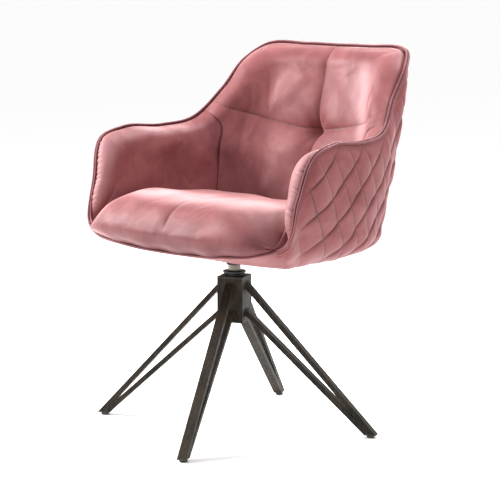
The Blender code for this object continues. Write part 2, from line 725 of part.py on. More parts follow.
def add_fasteners(seat):
    head_top = PLATE_BOTTOM - GAP
    head_low = head_top - BOLT_HEAD_HEIGHT
    nut_top = BOARD_TOP - GAP
    flange_low = nut_top - NUT_FLANGE_THICKNESS
    bolt = [
        (0, nut_top - NUT_RECESS),
        (BOLT_RADIUS, nut_top - NUT_RECESS),
        (BOLT_RADIUS, head_top),
        (BOLT_HEAD_RADIUS, head_top),
        (BOLT_HEAD_RADIUS, head_low + BOLT_CHAMFER),
        (BOLT_HEAD_RADIUS - BOLT_CHAMFER, head_low),
        (SOCKET_RADIUS, head_low),
        (SOCKET_RADIUS, head_low + SOCKET_DEPTH),
        (0, head_low + SOCKET_DEPTH),
    ]
    bore = BOLT_RADIUS + THREAD_CLEARANCE
    nut = [
        (bore, nut_top),
        (NUT_FLANGE_RADIUS, nut_top),
        (NUT_FLANGE_RADIUS, flange_low),
        (NUT_BARREL_RADIUS, flange_low),
        (NUT_BARREL_RADIUS, BOARD_BOTTOM + NUT_RECESS),
        (bore, BOARD_BOTTOM + NUT_RECESS),
    ]
    for k, (x, y) in enumerate(bolt_places()):
        spot = Matrix.Translation((x, y, 0))
        turned(f"plate_bolt_{k + 1}", bolt, STEEL, seat, closed=False, sides=SMALL_SIDES).matrix_local = spot
        turned(f"t_nut_{k + 1}", nut, STEEL, seat, sides=SMALL_SIDES).matrix_local = spot


def flat_sheet(name, outline, low, high, material, seat):
    """A flat sheet with the loop's outline, extruded to its thickness."""
    form = bmesh.new()
    face = form.faces.new([form.verts.new((x, y, low)) for x, y, _ in outline])
    raised = bmesh.ops.extrude_face_region(form, geom=[face])["geom"]
    top = [item for item in raised if isinstance(item, bmesh.types.BMVert)]
    bmesh.ops.translate(form, vec=(0, 0, high - low), verts=top)
    bmesh.ops.triangulate(form, faces=form.faces)
    bmesh.ops.recalc_face_normals(form, faces=form.faces)
    mesh = bpy.data.meshes.new(name)
    form.to_mesh(mesh)
    form.free()
    return place(name, mesh, material, seat)


def add_boards(seat, guides):
    edge = shrunk(guides.lip, -BOARD_MARGIN)
    board = flat_sheet("seat_board", edge, BOARD_BOTTOM, BOARD_TOP, PLYWOOD, seat)
    cut_at_bolts(board, "nut hole", NUT_BARREL_RADIUS + GAP, BOARD_BOTTOM - SPARE, BOARD_TOP + SPARE, seat)
    sink_low = BOARD_TOP - GAP - NUT_FLANGE_THICKNESS - GAP
    cut_at_bolts(board, "nut sinking", NUT_FLANGE_RADIUS + GAP, sink_low, BOARD_TOP + SPARE, seat)

    cloth_edge = shrunk(guides.lip, CLOTH_MARGIN)
    cloth_top = CLOTH_BOTTOM + CLOTH_THICKNESS
    cloth = flat_sheet("underside_cover", cloth_edge, CLOTH_BOTTOM, cloth_top, DUST_CLOTH, seat)
    cut_at_bolts(cloth, "cloth bolt hole", BOLT_RADIUS + CLOTH_CLEARANCE, CLOTH_BOTTOM - SPARE, cloth_top + SPARE, seat)


# ---- Seat's shell and upholstery ------------------------------------------
def add_layer(name, grid, thickness, material, seat):
    obj = place(name, skin(name, grid, close_rows=False), material, seat)
    solid = obj.modifiers.new("thickness", "SOLIDIFY")
    solid.thickness = thickness
    solid.offset = -1
    return obj


def pad_section(guides, shell_face, i):
    """One section of a pad: up against the shell, over the rolled edge and down the inner face."""
    rim, across, crest = guides.rim[i], guides.across[i], guides.crest[i]
    seat_line = guides.seat[i]
    top = rim - across * PAD_THICKNESS - crest * PAD_SHOULDER
    against_shell = [shell_face[i][j] for j in (5, 4, 3, 2, 1, 0)]
    roll = [rim - across * PAD_THICKNESS * inwards + crest * PAD_CREST * up for inwards, up in PAD_ROLL]
    face = [top + (seat_line - top) * t for t in (0, 0.33, 0.66, 1.0)]
    foot = seat_line.copy()
    foot[2] = min(foot[2] - PAD_FOOT, against_shell[0][2] + PAD_FOOT / 2)
    return against_shell + roll + face + [foot]


def add_pad(name, guides, shell_face, columns, seat, end_shift=0.0):
    """A pad through the columns; its end sections move in along the rim by end_shift."""
    sections = [np.array(pad_section(guides, shell_face, i)) for i in columns]
    sections[0] += guides.along[columns[0]] * end_shift
    sections[-1] -= guides.along[columns[-1]] * end_shift
    place(name, loft(name, sections), VELVET, seat)


def add_pads(seat, guides, wall):
    shell_face = inset(wall, COVER_THICKNESS + SHELL_GAP + SHELL_THICKNESS + PAD_BACKING_GAP)
    start = guides.column(ARM_START_STATION)
    dart = guides.column(DART_STATION)
    count = guides.count
    add_pad("arm_pad_right", guides, shell_face, range(start, dart + 1), seat)
    add_pad("back_pad", guides, shell_face, range(dart, count - dart + 1), seat, DART_GAP)
    add_pad("arm_pad_left", guides, shell_face, range(count - dart, count - start + 1), seat)


def add_cushion(seat, guides):
    """A crowned cushion: rings from the board up past the seat line and in to the middle."""
    line = guides.seat - guides.outward * CUSHION_GAP
    middle = np.array([0, line[:, 1].mean(), line[:, 2].max() + CUSHION_CROWN])
    depth = line[:, 1].max() - line[:, 1].min()
    inside = shrunk(line, CUSHION_WAIST / 2)
    foot = shrunk(guides.under, CUSHION_WAIST)
    foot[:, 0] = np.sign(foot[:, 0]) * np.minimum(abs(foot[:, 0]), abs(inside[:, 0]))
    rear = foot[:, 1] > 0
    foot[rear, 1] = np.minimum(foot[rear, 1], inside[rear, 1])
    foot[:, 2] = BOARD_TOP + GAP
    waist = inside.copy()
    waist[:, 2] -= CUSHION_WAIST / 2
    for i in range(guides.count):
        if min(i, guides.count - i) <= guides.column(FRONT_CORNER_STATION):
            waist[i] = guides.rim[i] - guides.outward[i] * FRONT_WAIST
            waist[i][2] = min(waist[i][2] + CUSHION_WAIST / 2, line[i][2] - CUSHION_WAIST / 4)
    rings = [foot, waist, line]
    for share, rise in CROWN_RINGS:
        ring = middle + (line - middle) * share
        fall = CUSHION_FALL * np.clip((ring[:, 1] - line[:, 1].min()) / depth - FALL_START, 0, 1)
        ring[:, 2] = line[:, 2] + (middle[2] - fall - line[:, 2]) * rise
        rings.append(ring)
    place("seat_cushion", loft("seat_cushion", rings), VELVET, seat)


def add_piping(seat, guides):
    curve = bpy.data.curves.new("rim_piping", "CURVE")
    curve.dimensions = "3D"
    curve.bevel_depth = PIPING_RADIUS
    curve.bevel_resolution = 1
    spline = curve.splines.new("POLY")
    spline.points.add(guides.count - 1)
    for point, place_at in zip(spline.points, guides.rim):
        point.co = (*place_at, 1)
    spline.use_cyclic_u = True
    curve.materials.append(PIPING_VELVET)
    obj = bpy.data.objects.new("rim_piping", curve)
    PARTS.objects.link(obj)
    obj.parent = seat


def add_upholstery(seat):
    guides = Guides()
    wall = wall_grid(guides)
    add_layer("outer_cover", wall, COVER_THICKNESS, QUILTED_VELVET, seat)
    add_layer("bucket_shell", inset(wall, COVER_THICKNESS + SHELL_GAP), SHELL_THICKNESS, SHELL_BOARD, seat)
    add_pads(seat, guides, wall)
    add_cushion(seat, guides)
    add_piping(seat, guides)
    add_boards(seat, guides)


clear_scene()
PARTS = new_collection("Swivel_armchair")
CUTTERS = new_collection("Cutters")

BRONZE = make_material("bronze_paint", (0.045, 0.036, 0.028), 0.42, 0.8)
BLACK_PLASTIC = make_material("black_plastic", (0.012, 0.012, 0.012), 0.5)
NYLON = make_material("nylon", (0.75, 0.73, 0.68), 0.45)
STEEL = make_material("steel", (0.42, 0.38, 0.33), 0.35, 1.0)
BLACK_STEEL = make_material("black_steel", (0.02, 0.02, 0.02), 0.45, 0.7)
BEARING_STEEL = make_material("bearing_steel", (0.6, 0.6, 0.6), 0.18, 1.0)
BRASS = make_material("cage_brass", (0.65, 0.45, 0.18), 0.35, 1.0)
PLYWOOD = make_material("plywood", (0.55, 0.38, 0.22), 0.65)
SHELL_BOARD = make_material("shell_board", (0.45, 0.31, 0.18), 0.7)
DUST_CLOTH = make_material("dust_cloth", (0.02, 0.02, 0.022), 0.9)
VELVET = make_material("velvet", (0.42, 0.14, 0.15), 0.75)
QUILTED_VELVET = make_material("quilted_velvet", (0.36, 0.12, 0.13), 0.75)
PIPING_VELVET = make_material("piping_velvet", (0.30, 0.10, 0.11), 0.7)

BASE = pivot("base_pivot", (0, AXIS_Y, 0), BASE_TURN)
CAGE = pivot("cage_pivot", (0, AXIS_Y, 0))
SEAT = pivot("seat_pivot", (0, AXIS_Y, 0))
add_hub(BASE)
add_legs(BASE)
add_fixed_bearing_parts(BASE)
add_cage(CAGE)
add_spindle(SEAT)
add_seat_plate(SEAT)
add_fasteners(SEAT)
add_upholstery(SEAT)
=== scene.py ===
"""The swivel armchair's looks: velvet pads, a quilted cover, a double welt, a painted base and a studio."""

import json
import math

import bmesh
import bpy
import numpy as np
from mathutils import Matrix, Vector


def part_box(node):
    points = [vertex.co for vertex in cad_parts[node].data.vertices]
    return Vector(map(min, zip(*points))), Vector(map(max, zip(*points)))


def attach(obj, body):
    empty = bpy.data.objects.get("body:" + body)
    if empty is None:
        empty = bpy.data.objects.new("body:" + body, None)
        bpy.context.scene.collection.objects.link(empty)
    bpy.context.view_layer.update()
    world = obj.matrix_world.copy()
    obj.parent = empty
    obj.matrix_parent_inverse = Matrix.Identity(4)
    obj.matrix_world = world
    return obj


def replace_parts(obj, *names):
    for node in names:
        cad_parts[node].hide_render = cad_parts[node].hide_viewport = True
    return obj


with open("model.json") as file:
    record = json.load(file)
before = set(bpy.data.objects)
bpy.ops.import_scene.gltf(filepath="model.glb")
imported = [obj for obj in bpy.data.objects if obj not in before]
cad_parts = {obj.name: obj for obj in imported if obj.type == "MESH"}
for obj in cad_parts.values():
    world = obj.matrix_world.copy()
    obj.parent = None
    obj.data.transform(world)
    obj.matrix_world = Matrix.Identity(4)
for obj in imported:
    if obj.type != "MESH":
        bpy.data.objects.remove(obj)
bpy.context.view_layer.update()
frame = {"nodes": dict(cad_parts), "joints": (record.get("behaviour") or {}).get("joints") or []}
AXIS_Y = next(j["pos_m"][1] for j in frame["joints"] if j["name"] == "swivel")

# ---- Sizes, in metres; those of the body are the CAD model's ----------------
BODY_UNDERSIDE = 0.400
BODY_WIDTH = 0.632
BODY_DEPTH = 0.584
BODY_HEIGHT = 0.450
FRONT_OVERHANG = 0.208
WALL_BULGE = 0.011
WALL_BLEND = 0.045
WIDEST_SHARE = 0.42  # of the way down the wall to where it bulges most
TUCK = 0.054
FLANGE = 0.018
PAD_THICKNESS = 0.046
COVER_START_STATION = 3
ARM_START_STATION = 2.6
DART_STATION = 8 + 1 / 3
LAST_STATION = 26

CORD_RADIUS = 0.0026
CORD_SPACING = 0.0062  # between the welt's two cords

QUILT_PITCH = 0.0585  # between neighbouring lines of stitches
QUILT_ANGLE = math.radians(54.5)  # of those lines from the horizontal, at the middle of the back
QUILT_TURN = 0.65  # radians a metre that the cloth turns as it wraps round the flared wall
QUILT_PHASE = 0.25
QUILT_HEIGHT = 0.0050
QUILT_SHARP = 0.0035  # reach of a line of stitches into the cloth below it
QUILT_SOFT = 0.0105  # and above it
# width of the painted shade along each line of stitches
STITCH_WIDTH = 0.0018

TUFT_HEIGHT = 0.659
SEAM_CURVE = 0.95  # rise of the back's cross seam, per metre, from the tuft to the sides
CROWN_HEIGHT = 0.5375
CUSHION_FALL = 0.060
FALL_START = 0.3
VOXEL = 0.006
CROWN_SHARES = (  # of the way in from the seat line to the middle
    *(0.014, 0.03, 0.05, 0.075, 0.10, 0.13, 0.17, 0.21),
    *(0.26, 0.32, 0.40, 0.49, 0.60, 0.72, 0.85, 0.95),
)

BACK_EASE = 17  # columns over which the folds of the guide curves are spread
ARM_EASE = 24
MOST_SWELL = 0.008
PAD_PRESSURE = 1.5
CUSHION_PRESSURE = 2.5
CLOTH_STIFFNESS = 40
CLOTH_BENDING = 8
CLOTH_FRAMES = 20

# Guide points of the right half, (x, y, z) in shares of half the body's width, its depth and its height.
RIM = (
    (0.000, 0.005, 0.051),
    (0.440, 0.000, 0.064),
    (0.760, 0.024, 0.091),
    (0.922, 0.070, 0.135),
    (0.962, 0.118, 0.347),
    (1.000, 0.180, 0.549),
    (0.988, 0.288, 0.591),
    (0.965, 0.485, 0.584),
    (0.905, 0.649, 0.613),
    (0.812, 0.776, 0.760),
    (0.763, 0.887, 0.911),
    (0.668, 0.962, 0.985),
    (0.285, 0.991, 1.000),
    (0.000, 1.000, 0.998),
)
KNEE = (  # the corner, before it is rounded, where the wall turns under
    (0.000, 0.075, 0.030),
    (0.432, 0.072, 0.040),
    (0.728, 0.088, 0.058),
    (0.873, 0.112, 0.066),
    (0.905, 0.185, 0.082),
    (0.911, 0.322, 0.076),
    (0.908, 0.442, 0.062),
    (0.880, 0.579, 0.042),
    (0.800, 0.692, 0.024),
    (0.718, 0.757, 0.010),
    (0.605, 0.804, 0.005),
    (0.440, 0.832, 0.002),
    (0.195, 0.849, 0.000),
    (0.000, 0.853, 0.000),
)
SEAT_LINE = (  # where the seat cushion meets the rim's front, the arms and the back
    (0.000, -0.050, 0.150),
    (0.437, -0.047, 0.155),
    (0.745, -0.008, 0.150),
    (0.862, 0.050, 0.128),
    (0.846, 0.112, 0.178),
    (0.820, 0.210, 0.228),
    (0.797, 0.305, 0.232),
    (0.764, 0.468, 0.220),
    (0.687, 0.620, 0.208),
    (0.589, 0.676, 0.203),
    (0.478, 0.707, 0.200),
    (0.350, 0.726, 0.198),
    (0.160, 0.741, 0.197),
    (0.000, 0.743, 0.197),
)


# ---- Curves and grids ---------------------------------------------------------
def unit(vectors):
    return vectors / np.maximum(np.linalg.norm(vectors, axis=-1, keepdims=True), 1e-9)


def smoothstep(low, high, value):
    t = np.clip((value - low) / (high - low), 0, 1)
    return t * t * (3 - 2 * t)


def hermite(a, slope_a, b, slope_b, span, t):
    return (
        (2 * t**3 - 3 * t**2 + 1) * a
        + (t**3 - 2 * t**2 + t) * span * slope_a
        + (3 * t**2 - 2 * t**3) * b
        + (t**3 - t**2) * span * slope_b
    )


def whole_loop(shares):
    """The guide points of both halves, in metres, from the right half's shares."""
    size = (BODY_WIDTH / 2, BODY_DEPTH, BODY_HEIGHT)
    right = np.array(shares) * size + (0, AXIS_Y - FRONT_OVERHANG, BODY_UNDERSIDE)
    left = right[-2:0:-1] * (-1, 1, 1)
    return np.concatenate([right, left])


def smooth_loop(points, spans, samples):
    """Samples of a smooth closed curve through the points, whose distances along the rim are the spans."""
    before = np.roll(spans, 1)[:, None]
    after = spans[:, None]
    step_back = (points - np.roll(points, 1, axis=0)) / before
    step_on = (np.roll(points, -1, axis=0) - points) / after
    slope = (step_back * after + step_on * before) / (before + after)
    ends = np.roll(points, -1, axis=0), np.roll(slope, -1, axis=0)
    made = [hermite(points, slope, *ends, after, k / samples) for k in range(samples)]
    return np.stack(made, axis=1).reshape(-1, 3)


def shrunk(loop, distance):
    """The loop drawn in towards its middle, in plan, by that distance where it is widest."""
    low = loop[:, :2].min(axis=0)
    high = loop[:, :2].max(axis=0)
    middle = (low + high) / 2
    drawn_in = loop.copy()
    drawn_in[:, :2] = middle + (loop[:, :2] - middle) * (1 - distance / (high - middle))
    return drawn_in


class Guides:
    """The body's guide curves, sampled at the same columns all the way round."""

    def __init__(self, samples):
        rim = whole_loop(RIM)
        spans = np.linalg.norm(np.roll(rim, -1, axis=0) - rim, axis=1)
        self.samples = samples
        self.rim = smooth_loop(rim, spans, samples)
        self.knee = smooth_loop(whole_loop(KNEE), spans, samples)
        self.seat = smooth_loop(whole_loop(SEAT_LINE), spans, samples)
        self.count = len(self.rim)
        self.station = np.arange(self.count) / samples
        along_knee = np.roll(self.knee, -1, axis=0) - np.roll(self.knee, 1, axis=0)
        flat = np.stack([along_knee[:, 1], -along_knee[:, 0], np.zeros(self.count)], axis=1)
        self.outward = unit(flat)
        self.under = shrunk(self.knee, TUCK)
        self.under[:, 2] = BODY_UNDERSIDE
        self.lip = shrunk(self.under, FLANGE)
        self.along = unit(np.roll(self.rim, -1, axis=0) - np.roll(self.rim, 1, axis=0))
        across = self.outward - self.along * np.sum(self.outward * self.along, axis=1, keepdims=True)
        self.across = unit(across)
        self.crest = np.cross(self.across, self.along)

    def columns(self, first, last):
        """Column numbers from one station to another, both included."""
        return np.arange(round(first * self.samples), round(last * self.samples) + 1) % self.count


def spline_rows(controls, rows):
    """(smooth curves through each column's control points, at equal steps of length, their lengths)."""
    spans = np.linalg.norm(np.diff(controls, axis=1), axis=2)[..., None]
    steps = np.diff(controls, axis=1) / spans
    slope = np.empty_like(controls)
    slope[:, 0] = steps[:, 0]
    slope[:, -1] = steps[:, -1]
    before, after = spans[:, :-1], spans[:, 1:]
    slope[:, 1:-1] = (steps[:, :-1] * after + steps[:, 1:] * before) / (before + after)
    dense = []
    for k in range(controls.shape[1] - 1):
        ends = controls[:, k], slope[:, k], controls[:, k + 1], slope[:, k + 1]
        for t in np.arange(0, 1, 0.1):
            dense.append(hermite(*ends, spans[:, k], t))
    dense.append(controls[:, -1])
    dense = np.stack(dense, axis=1)
    lengths = np.cumsum(np.linalg.norm(np.diff(dense, axis=1), axis=2), axis=1)
    lengths = np.concatenate([np.zeros((len(dense), 1)), lengths], axis=1)
    shares = np.linspace(0, 1, rows)
    made = np.empty((len(dense), rows, 3))
    for i in range(len(dense)):
        for axis in range(3):
            made[i, :, axis] = np.interp(shares * lengths[i, -1], lengths[i], dense[i, :, axis])
    return made, lengths[:, -1]


def grid_normals(grid):
    """Unit normals of grid[column][row]: the direction of the rows crossed with that of the columns."""
    return unit(np.cross(np.gradient(grid, axis=1), np.gradient(grid, axis=0)))


def ripple(*coordinates, wave, seed, terms=9):
    """A smooth random field of about unit height, made of plane waves of roughly that wavelength."""
    draw = np.random.default_rng(seed)
    field = 0
    for _ in range(terms):
        direction = draw.normal(size=len(coordinates))
        direction *= 2 * math.pi / (wave * draw.uniform(0.7, 1.6) * np.linalg.norm(direction))
        phase = sum(c * d for c, d in zip(coordinates, direction)) + draw.uniform(0, 2 * math.pi)
        field = field + np.sin(phase)
    return field * math.sqrt(2 / terms)


# ---- Making objects -------------------------------------------------------------
def add(name, mesh, material, body):
    obj = bpy.data.objects.new(name, mesh)
    bpy.context.scene.collection.objects.link(obj)
    mesh.materials.clear()
    mesh.materials.append(material)
    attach(obj, body)
    return obj


def grid_mesh(name, grid, closed=False):
    """A mesh over grid[column][row], whose faces look the way that grid_normals points."""
    columns, rows = grid.shape[:2]
    index = np.arange(columns * rows).reshape(columns, rows)
    if closed:
        index = np.concatenate([index, index[:1]])
    corners = [index[:-1, :-1], index[:-1, 1:], index[1:, 1:], index[1:, :-1]]
    faces = np.stack([c.ravel() for c in corners], axis=1)
    mesh = bpy.data.meshes.new(name)
    mesh.from_pydata(grid.reshape(-1, 3).tolist(), [], faces.tolist())
    mesh.shade_smooth()
    return mesh


def keep(mesh, attribute, values):
    """Stores one number a point, for the material."""
    layer = mesh.attributes.new(attribute, "FLOAT", "POINT")
    layer.data.foreach_set("value", np.ascontiguousarray(values, np.float32).ravel())


def points_of(mesh):
    flat = np.empty(len(mesh.vertices) * 3)
    mesh.vertices.foreach_get("co", flat)
    return flat.reshape(-1, 3)


def normals_of(mesh):
    flat = np.empty(len(mesh.vertices) * 3)
    mesh.vertex_normals.foreach_get("vector", flat)
    return flat.reshape(-1, 3)


def move_points(mesh, points):
    mesh.vertices.foreach_set("co", np.ascontiguousarray(points, np.float32).ravel())
    mesh.update()


def applied(obj):
    """The object's mesh becomes what its modifiers make of it."""
    graph = bpy.context.evaluated_depsgraph_get()
    mesh = bpy.data.meshes.new_from_object(obj.evaluated_get(graph))
    obj.modifiers.clear()
    obj.data = mesh
    return mesh


def swell(name, mesh, pinned, pressure):
    """Pinned points stay, and no point moves further than MOST_SWELL.
    """
    obj = bpy.data.objects.new(name, mesh)
    bpy.context.scene.collection.objects.link(obj)
    before = points_of(mesh)
    group = obj.vertex_groups.new(name="pinned")
    group.add(np.flatnonzero(pinned).tolist(), 1.0, "REPLACE")
    settings = obj.modifiers.new("swell", "CLOTH").settings
    settings.vertex_group_mass = "pinned"
    settings.quality = 6
    settings.mass = 0.3
    settings.tension_stiffness = CLOTH_STIFFNESS
    settings.compression_stiffness = CLOTH_STIFFNESS
    settings.shear_stiffness = CLOTH_STIFFNESS
    settings.bending_stiffness = CLOTH_BENDING
    settings.use_pressure = True
    settings.uniform_pressure_force = pressure
    settings.effector_weights.gravity = 0
    for number in range(1, CLOTH_FRAMES + 1):
        bpy.context.scene.frame_set(number)
    mesh = applied(obj)
    bpy.context.scene.frame_set(1)
    step = points_of(mesh) - before
    length = np.linalg.norm(step, axis=1, keepdims=True)
    capped = step * MOST_SWELL * np.tanh(length / MOST_SWELL) / np.maximum(length, 1e-9)
    move_points(mesh, before + capped)
    obj.vertex_groups.clear()
    bpy.data.objects.remove(obj)
    mesh.shade_smooth()
    return mesh


def subdivided(mesh):
    """The mesh after one round of subdivision, with its attributes carried along."""
    obj = bpy.data.objects.new(mesh.name, mesh)
    bpy.context.scene.collection.objects.link(obj)
    modifier = obj.modifiers.new("finer", "SUBSURF")
    modifier.levels = modifier.render_levels = 1
    mesh = applied(obj)
    bpy.data.objects.remove(obj)
    mesh.shade_smooth()
    return mesh


# ---- Materials --------------------------------------------------------------------
class Nodes:
    """A short way to write a material's node tree."""

    def __init__(self, name):
        self.material = bpy.data.materials.new(name)
        self.material.use_nodes = True
        self.tree = self.material.node_tree
        self.shader = self.tree.nodes["Principled BSDF"]
        self.place = self.add("ShaderNodeTexCoord").outputs["Object"]

    def add(self, kind, inputs=(), **settings):
        node = self.tree.nodes.new(kind)
        for key, value in settings.items():
            setattr(node, key, value)
        for key, value in dict(inputs).items():
            self.feed(node.inputs[key], value)
        return node

    def feed(self, socket, value):
        if isinstance(value, bpy.types.NodeSocket):
            self.tree.links.new(value, socket)
        else:
            socket.default_value = value

    def set(self, **values):
        for key, value in values.items():
            self.feed(self.shader.inputs[key.replace("_", " ")], value)

    def stretched(self, scale):
        return self.add("ShaderNodeMapping", {"Vector": self.place, "Scale": scale}).outputs[0]

    def noise(self, scale, detail=2.0, roughness=0.5, distortion=0.0, place=None):
        inputs = {
            "Vector": place or self.place,
            "Scale": scale,
            "Detail": detail,
            "Roughness": roughness,
            "Distortion": distortion,
        }
        return self.add("ShaderNodeTexNoise", inputs).outputs["Fac"]

    def ramp(self, value, low, high, to_low=0.0, to_high=1.0):
        inputs = {"Value": value, "From Min": low, "From Max": high, "To Min": to_low, "To Max": to_high}
        return self.add("ShaderNodeMapRange", inputs, interpolation_type="SMOOTHSTEP").outputs["Result"]

    def maths(self, operation, a, b):
        return self.add("ShaderNodeMath", {0: a, 1: b}, operation=operation).outputs[0]

    def mix(self, share, a, b, blend="MIX"):
        node = self.add("ShaderNodeMix", data_type="RGBA", blend_type=blend)
        self.feed(node.inputs[0], share)
        self.feed(node.inputs[6], (*a, 1) if isinstance(a, tuple) else a)
        self.feed(node.inputs[7], (*b, 1) if isinstance(b, tuple) else b)
        return node.outputs[2]

    def attribute(self, name):
        return self.add("ShaderNodeAttribute", attribute_name=name).outputs["Fac"]

    def bump(self, *layers):
        """Each layer is (height, strength, distance); they add up."""
        normal = None
        for height, strength, distance in layers:
            inputs = {"Height": height, "Strength": strength, "Distance": distance}
            if normal is not None:
                inputs["Normal"] = normal
            normal = self.add("ShaderNodeBump", inputs).outputs[0]
        self.feed(self.shader.inputs["Normal"], normal)


def velvet(name, deep, bright, painted_shade_colour, sheen=0.8):
    """Short pile: brushed patches, fine fibres, a soft sheen, painted highlights, and painted shade in seams
    and creases.
    """
    n = Nodes(name)
    brushed = n.noise(11.0, 5.0, 0.62, 0.9)
    strokes = n.noise(26.0, 4.0, 0.6, 0.4, n.stretched((1.0, 1.0, 0.45)))
    fibres = n.noise(900.0, 2.0, 0.6)
    nap_and_highlight = n.maths("MULTIPLY", n.ramp(strokes, 0.36, 0.68), 0.35)
    nap_and_highlight = n.maths("ADD", nap_and_highlight, n.maths("MULTIPLY", n.ramp(brushed, 0.34, 0.66), 0.65))
    colour = n.mix(nap_and_highlight, deep, bright)
    colour = n.mix(n.ramp(fibres, 0.3, 0.7, 0.0, 0.22), colour, tuple(0.62 * c for c in deep))
    # painted highlight, wherever the mesh's highlight attribute asks for it
    colour = n.mix(n.attribute("nap_and_highlight"), colour, (0.66, 0.40, 0.41))
    # painted shade, wherever the mesh's shade attribute asks for it: seams, creases, gathers, the welt's
    # groove and the seat's front
    colour = n.mix(n.attribute("painted_shade"), colour, painted_shade_colour)
    n.set(Base_Color=colour, Metallic=0.0, Roughness=n.ramp(brushed, 0.3, 0.7, 0.62, 0.52))
    n.set(Sheen_Weight=sheen, Sheen_Roughness=0.32, Sheen_Tint=(1.0, 0.60, 0.60, 1.0))
    n.set(Specular_IOR_Level=0.5, Specular_Tint=(1.0, 0.75, 0.77, 1.0))
    n.bump((n.noise(55.0, 3.0, 0.55), 0.25, 0.0012), (fibres, 0.30, 0.0004))
    return n.material


def bronze(name):
    """Dark bronze paint over drawn tube: faint lengthwise streaks, cloudy tone and a painted highlight on its
    edges.
    """
    n = Nodes(name)
    cloud = n.noise(16.0, 4.0, 0.6, 0.6)
    streaks = n.noise(40.0, 3.0, 0.6, 0.0, n.stretched((5.0, 5.0, 0.7)))
    grain = n.noise(1400.0, 2.0, 0.5)
    colour = n.mix(n.ramp(cloud, 0.35, 0.65), (0.010, 0.008, 0.006), (0.026, 0.019, 0.012))
    colour = n.mix(n.ramp(streaks, 0.40, 0.70, 0.0, 0.55), colour, (0.045, 0.036, 0.027))
    # painted highlight: lighter along every edge, where the bevelled normal turns from the face's own
    bevel = n.add("ShaderNodeBevel", {"Radius": 0.0016}, samples=6).outputs[0]
    flat = n.add("ShaderNodeNewGeometry").outputs["Normal"]
    turn = n.add("ShaderNodeVectorMath", {0: bevel, 1: flat}, operation="DOT_PRODUCT").outputs["Value"]
    edge = n.ramp(turn, 0.90, 0.999, 0.75, 0.0)
    colour = n.mix(edge, colour, (0.11, 0.092, 0.070))
    n.set(Base_Color=colour, Metallic=0.2, Roughness=n.ramp(streaks, 0.3, 0.7, 0.58, 0.44))
    n.set(Specular_IOR_Level=0.15)
    n.bump((streaks, 0.10, 0.0006), (grain, 0.12, 0.0002))
    return n.material


def plain(name, colour, roughness, metallic=0.0, grain=600.0, spread=0.25, strength=0.12):
    """A moulded, turned or rolled surface: a slight change of tone, and grain in its gloss and relief."""
    n = Nodes(name)
    fine = n.noise(grain, 3.0, 0.6)
    broad = n.noise(grain / 25, 3.0, 0.5)
    shade = tuple(c * (1 - spread) for c in colour)
    light = tuple(min(1.0, c * (1 + spread)) for c in colour)
    n.set(Base_Color=n.mix(n.ramp(broad, 0.3, 0.7), shade, light), Metallic=metallic)
    n.set(Roughness=n.ramp(fine, 0.3, 0.7, roughness - 0.06, roughness + 0.06))
    n.bump((fine, strength, 0.0003))
    return n.material


def turned_steel(name, colour, roughness):
    """Steel with fine rings round the Z axis."""
    n = Nodes(name)
    rings = n.noise(60.0, 4.0, 0.7, 0.0, n.stretched((0.4, 0.4, 60.0)))
    colour_mix = n.mix(n.ramp(rings, 0.3, 0.7), tuple(0.7 * c for c in colour), colour)
    gloss = n.ramp(rings, 0.3, 0.7, roughness - 0.08, roughness + 0.08)
    n.set(Base_Color=colour_mix, Metallic=1.0, Roughness=gloss, Anisotropic=0.5)
    n.bump((rings, 0.15, 0.0002))
    return n.material


def plywood(name):
    """Raw ply with its grain along X."""
    n = Nodes(name)
    grain = n.noise(30.0, 5.0, 0.65, 0.4, n.stretched((1.0, 12.0, 12.0)))
    n.set(Base_Color=n.mix(n.ramp(grain, 0.3, 0.7), (0.36, 0.22, 0.11), (0.62, 0.44, 0.26)), Roughness=0.7)
    n.bump((grain, 0.2, 0.0005))
    return n.material


def felt(name):
    """Black non-woven cloth, pressed in a fine dotted pattern."""
    n = Nodes(name)
    dots = n.add("ShaderNodeTexVoronoi", {"Vector": n.place, "Scale": 450.0}).outputs["Distance"]
    fibres = n.noise(700.0, 4.0, 0.7)
    n.set(Base_Color=n.mix(fibres, (0.008, 0.008, 0.009), (0.035, 0.035, 0.038)), Roughness=0.92)
    n.set(Specular_IOR_Level=0.15)
    n.bump((dots, 0.35, 0.0004), (fibres, 0.3, 0.0003))
    return n.material


# the third colour of each velvet is that of its painted shade
VELVET = velvet("velvet", (0.150, 0.034, 0.037), (0.235, 0.066, 0.068), (0.040, 0.009, 0.010))
QUILTED = velvet("quilted_velvet", (0.195, 0.044, 0.047), (0.255, 0.070, 0.073), (0.022, 0.004, 0.005), 0.30)
WELT = velvet("piping_velvet", (0.120, 0.028, 0.033), (0.215, 0.062, 0.068), (0.022, 0.005, 0.006), 0.5)
BRONZE = bronze("bronze_paint")
BLACK_PLASTIC = plain("black_plastic", (0.014, 0.014, 0.014), 0.46, grain=900.0)
NYLON = plain("nylon", (0.74, 0.71, 0.64), 0.45)
STEEL = turned_steel("steel", (0.20, 0.17, 0.14), 0.30)
BLACK_STEEL = plain("black_steel", (0.022, 0.022, 0.023), 0.42, 0.6)
BEARING_STEEL = turned_steel("bearing_steel", (0.62, 0.62, 0.61), 0.20)
BRASS = plain("cage_brass", (0.66, 0.46, 0.19), 0.34, 1.0)
PLYWOOD = plywood("plywood")
SHELL_BOARD = plywood("shell_board")
DUST_CLOTH = felt("dust_cloth")

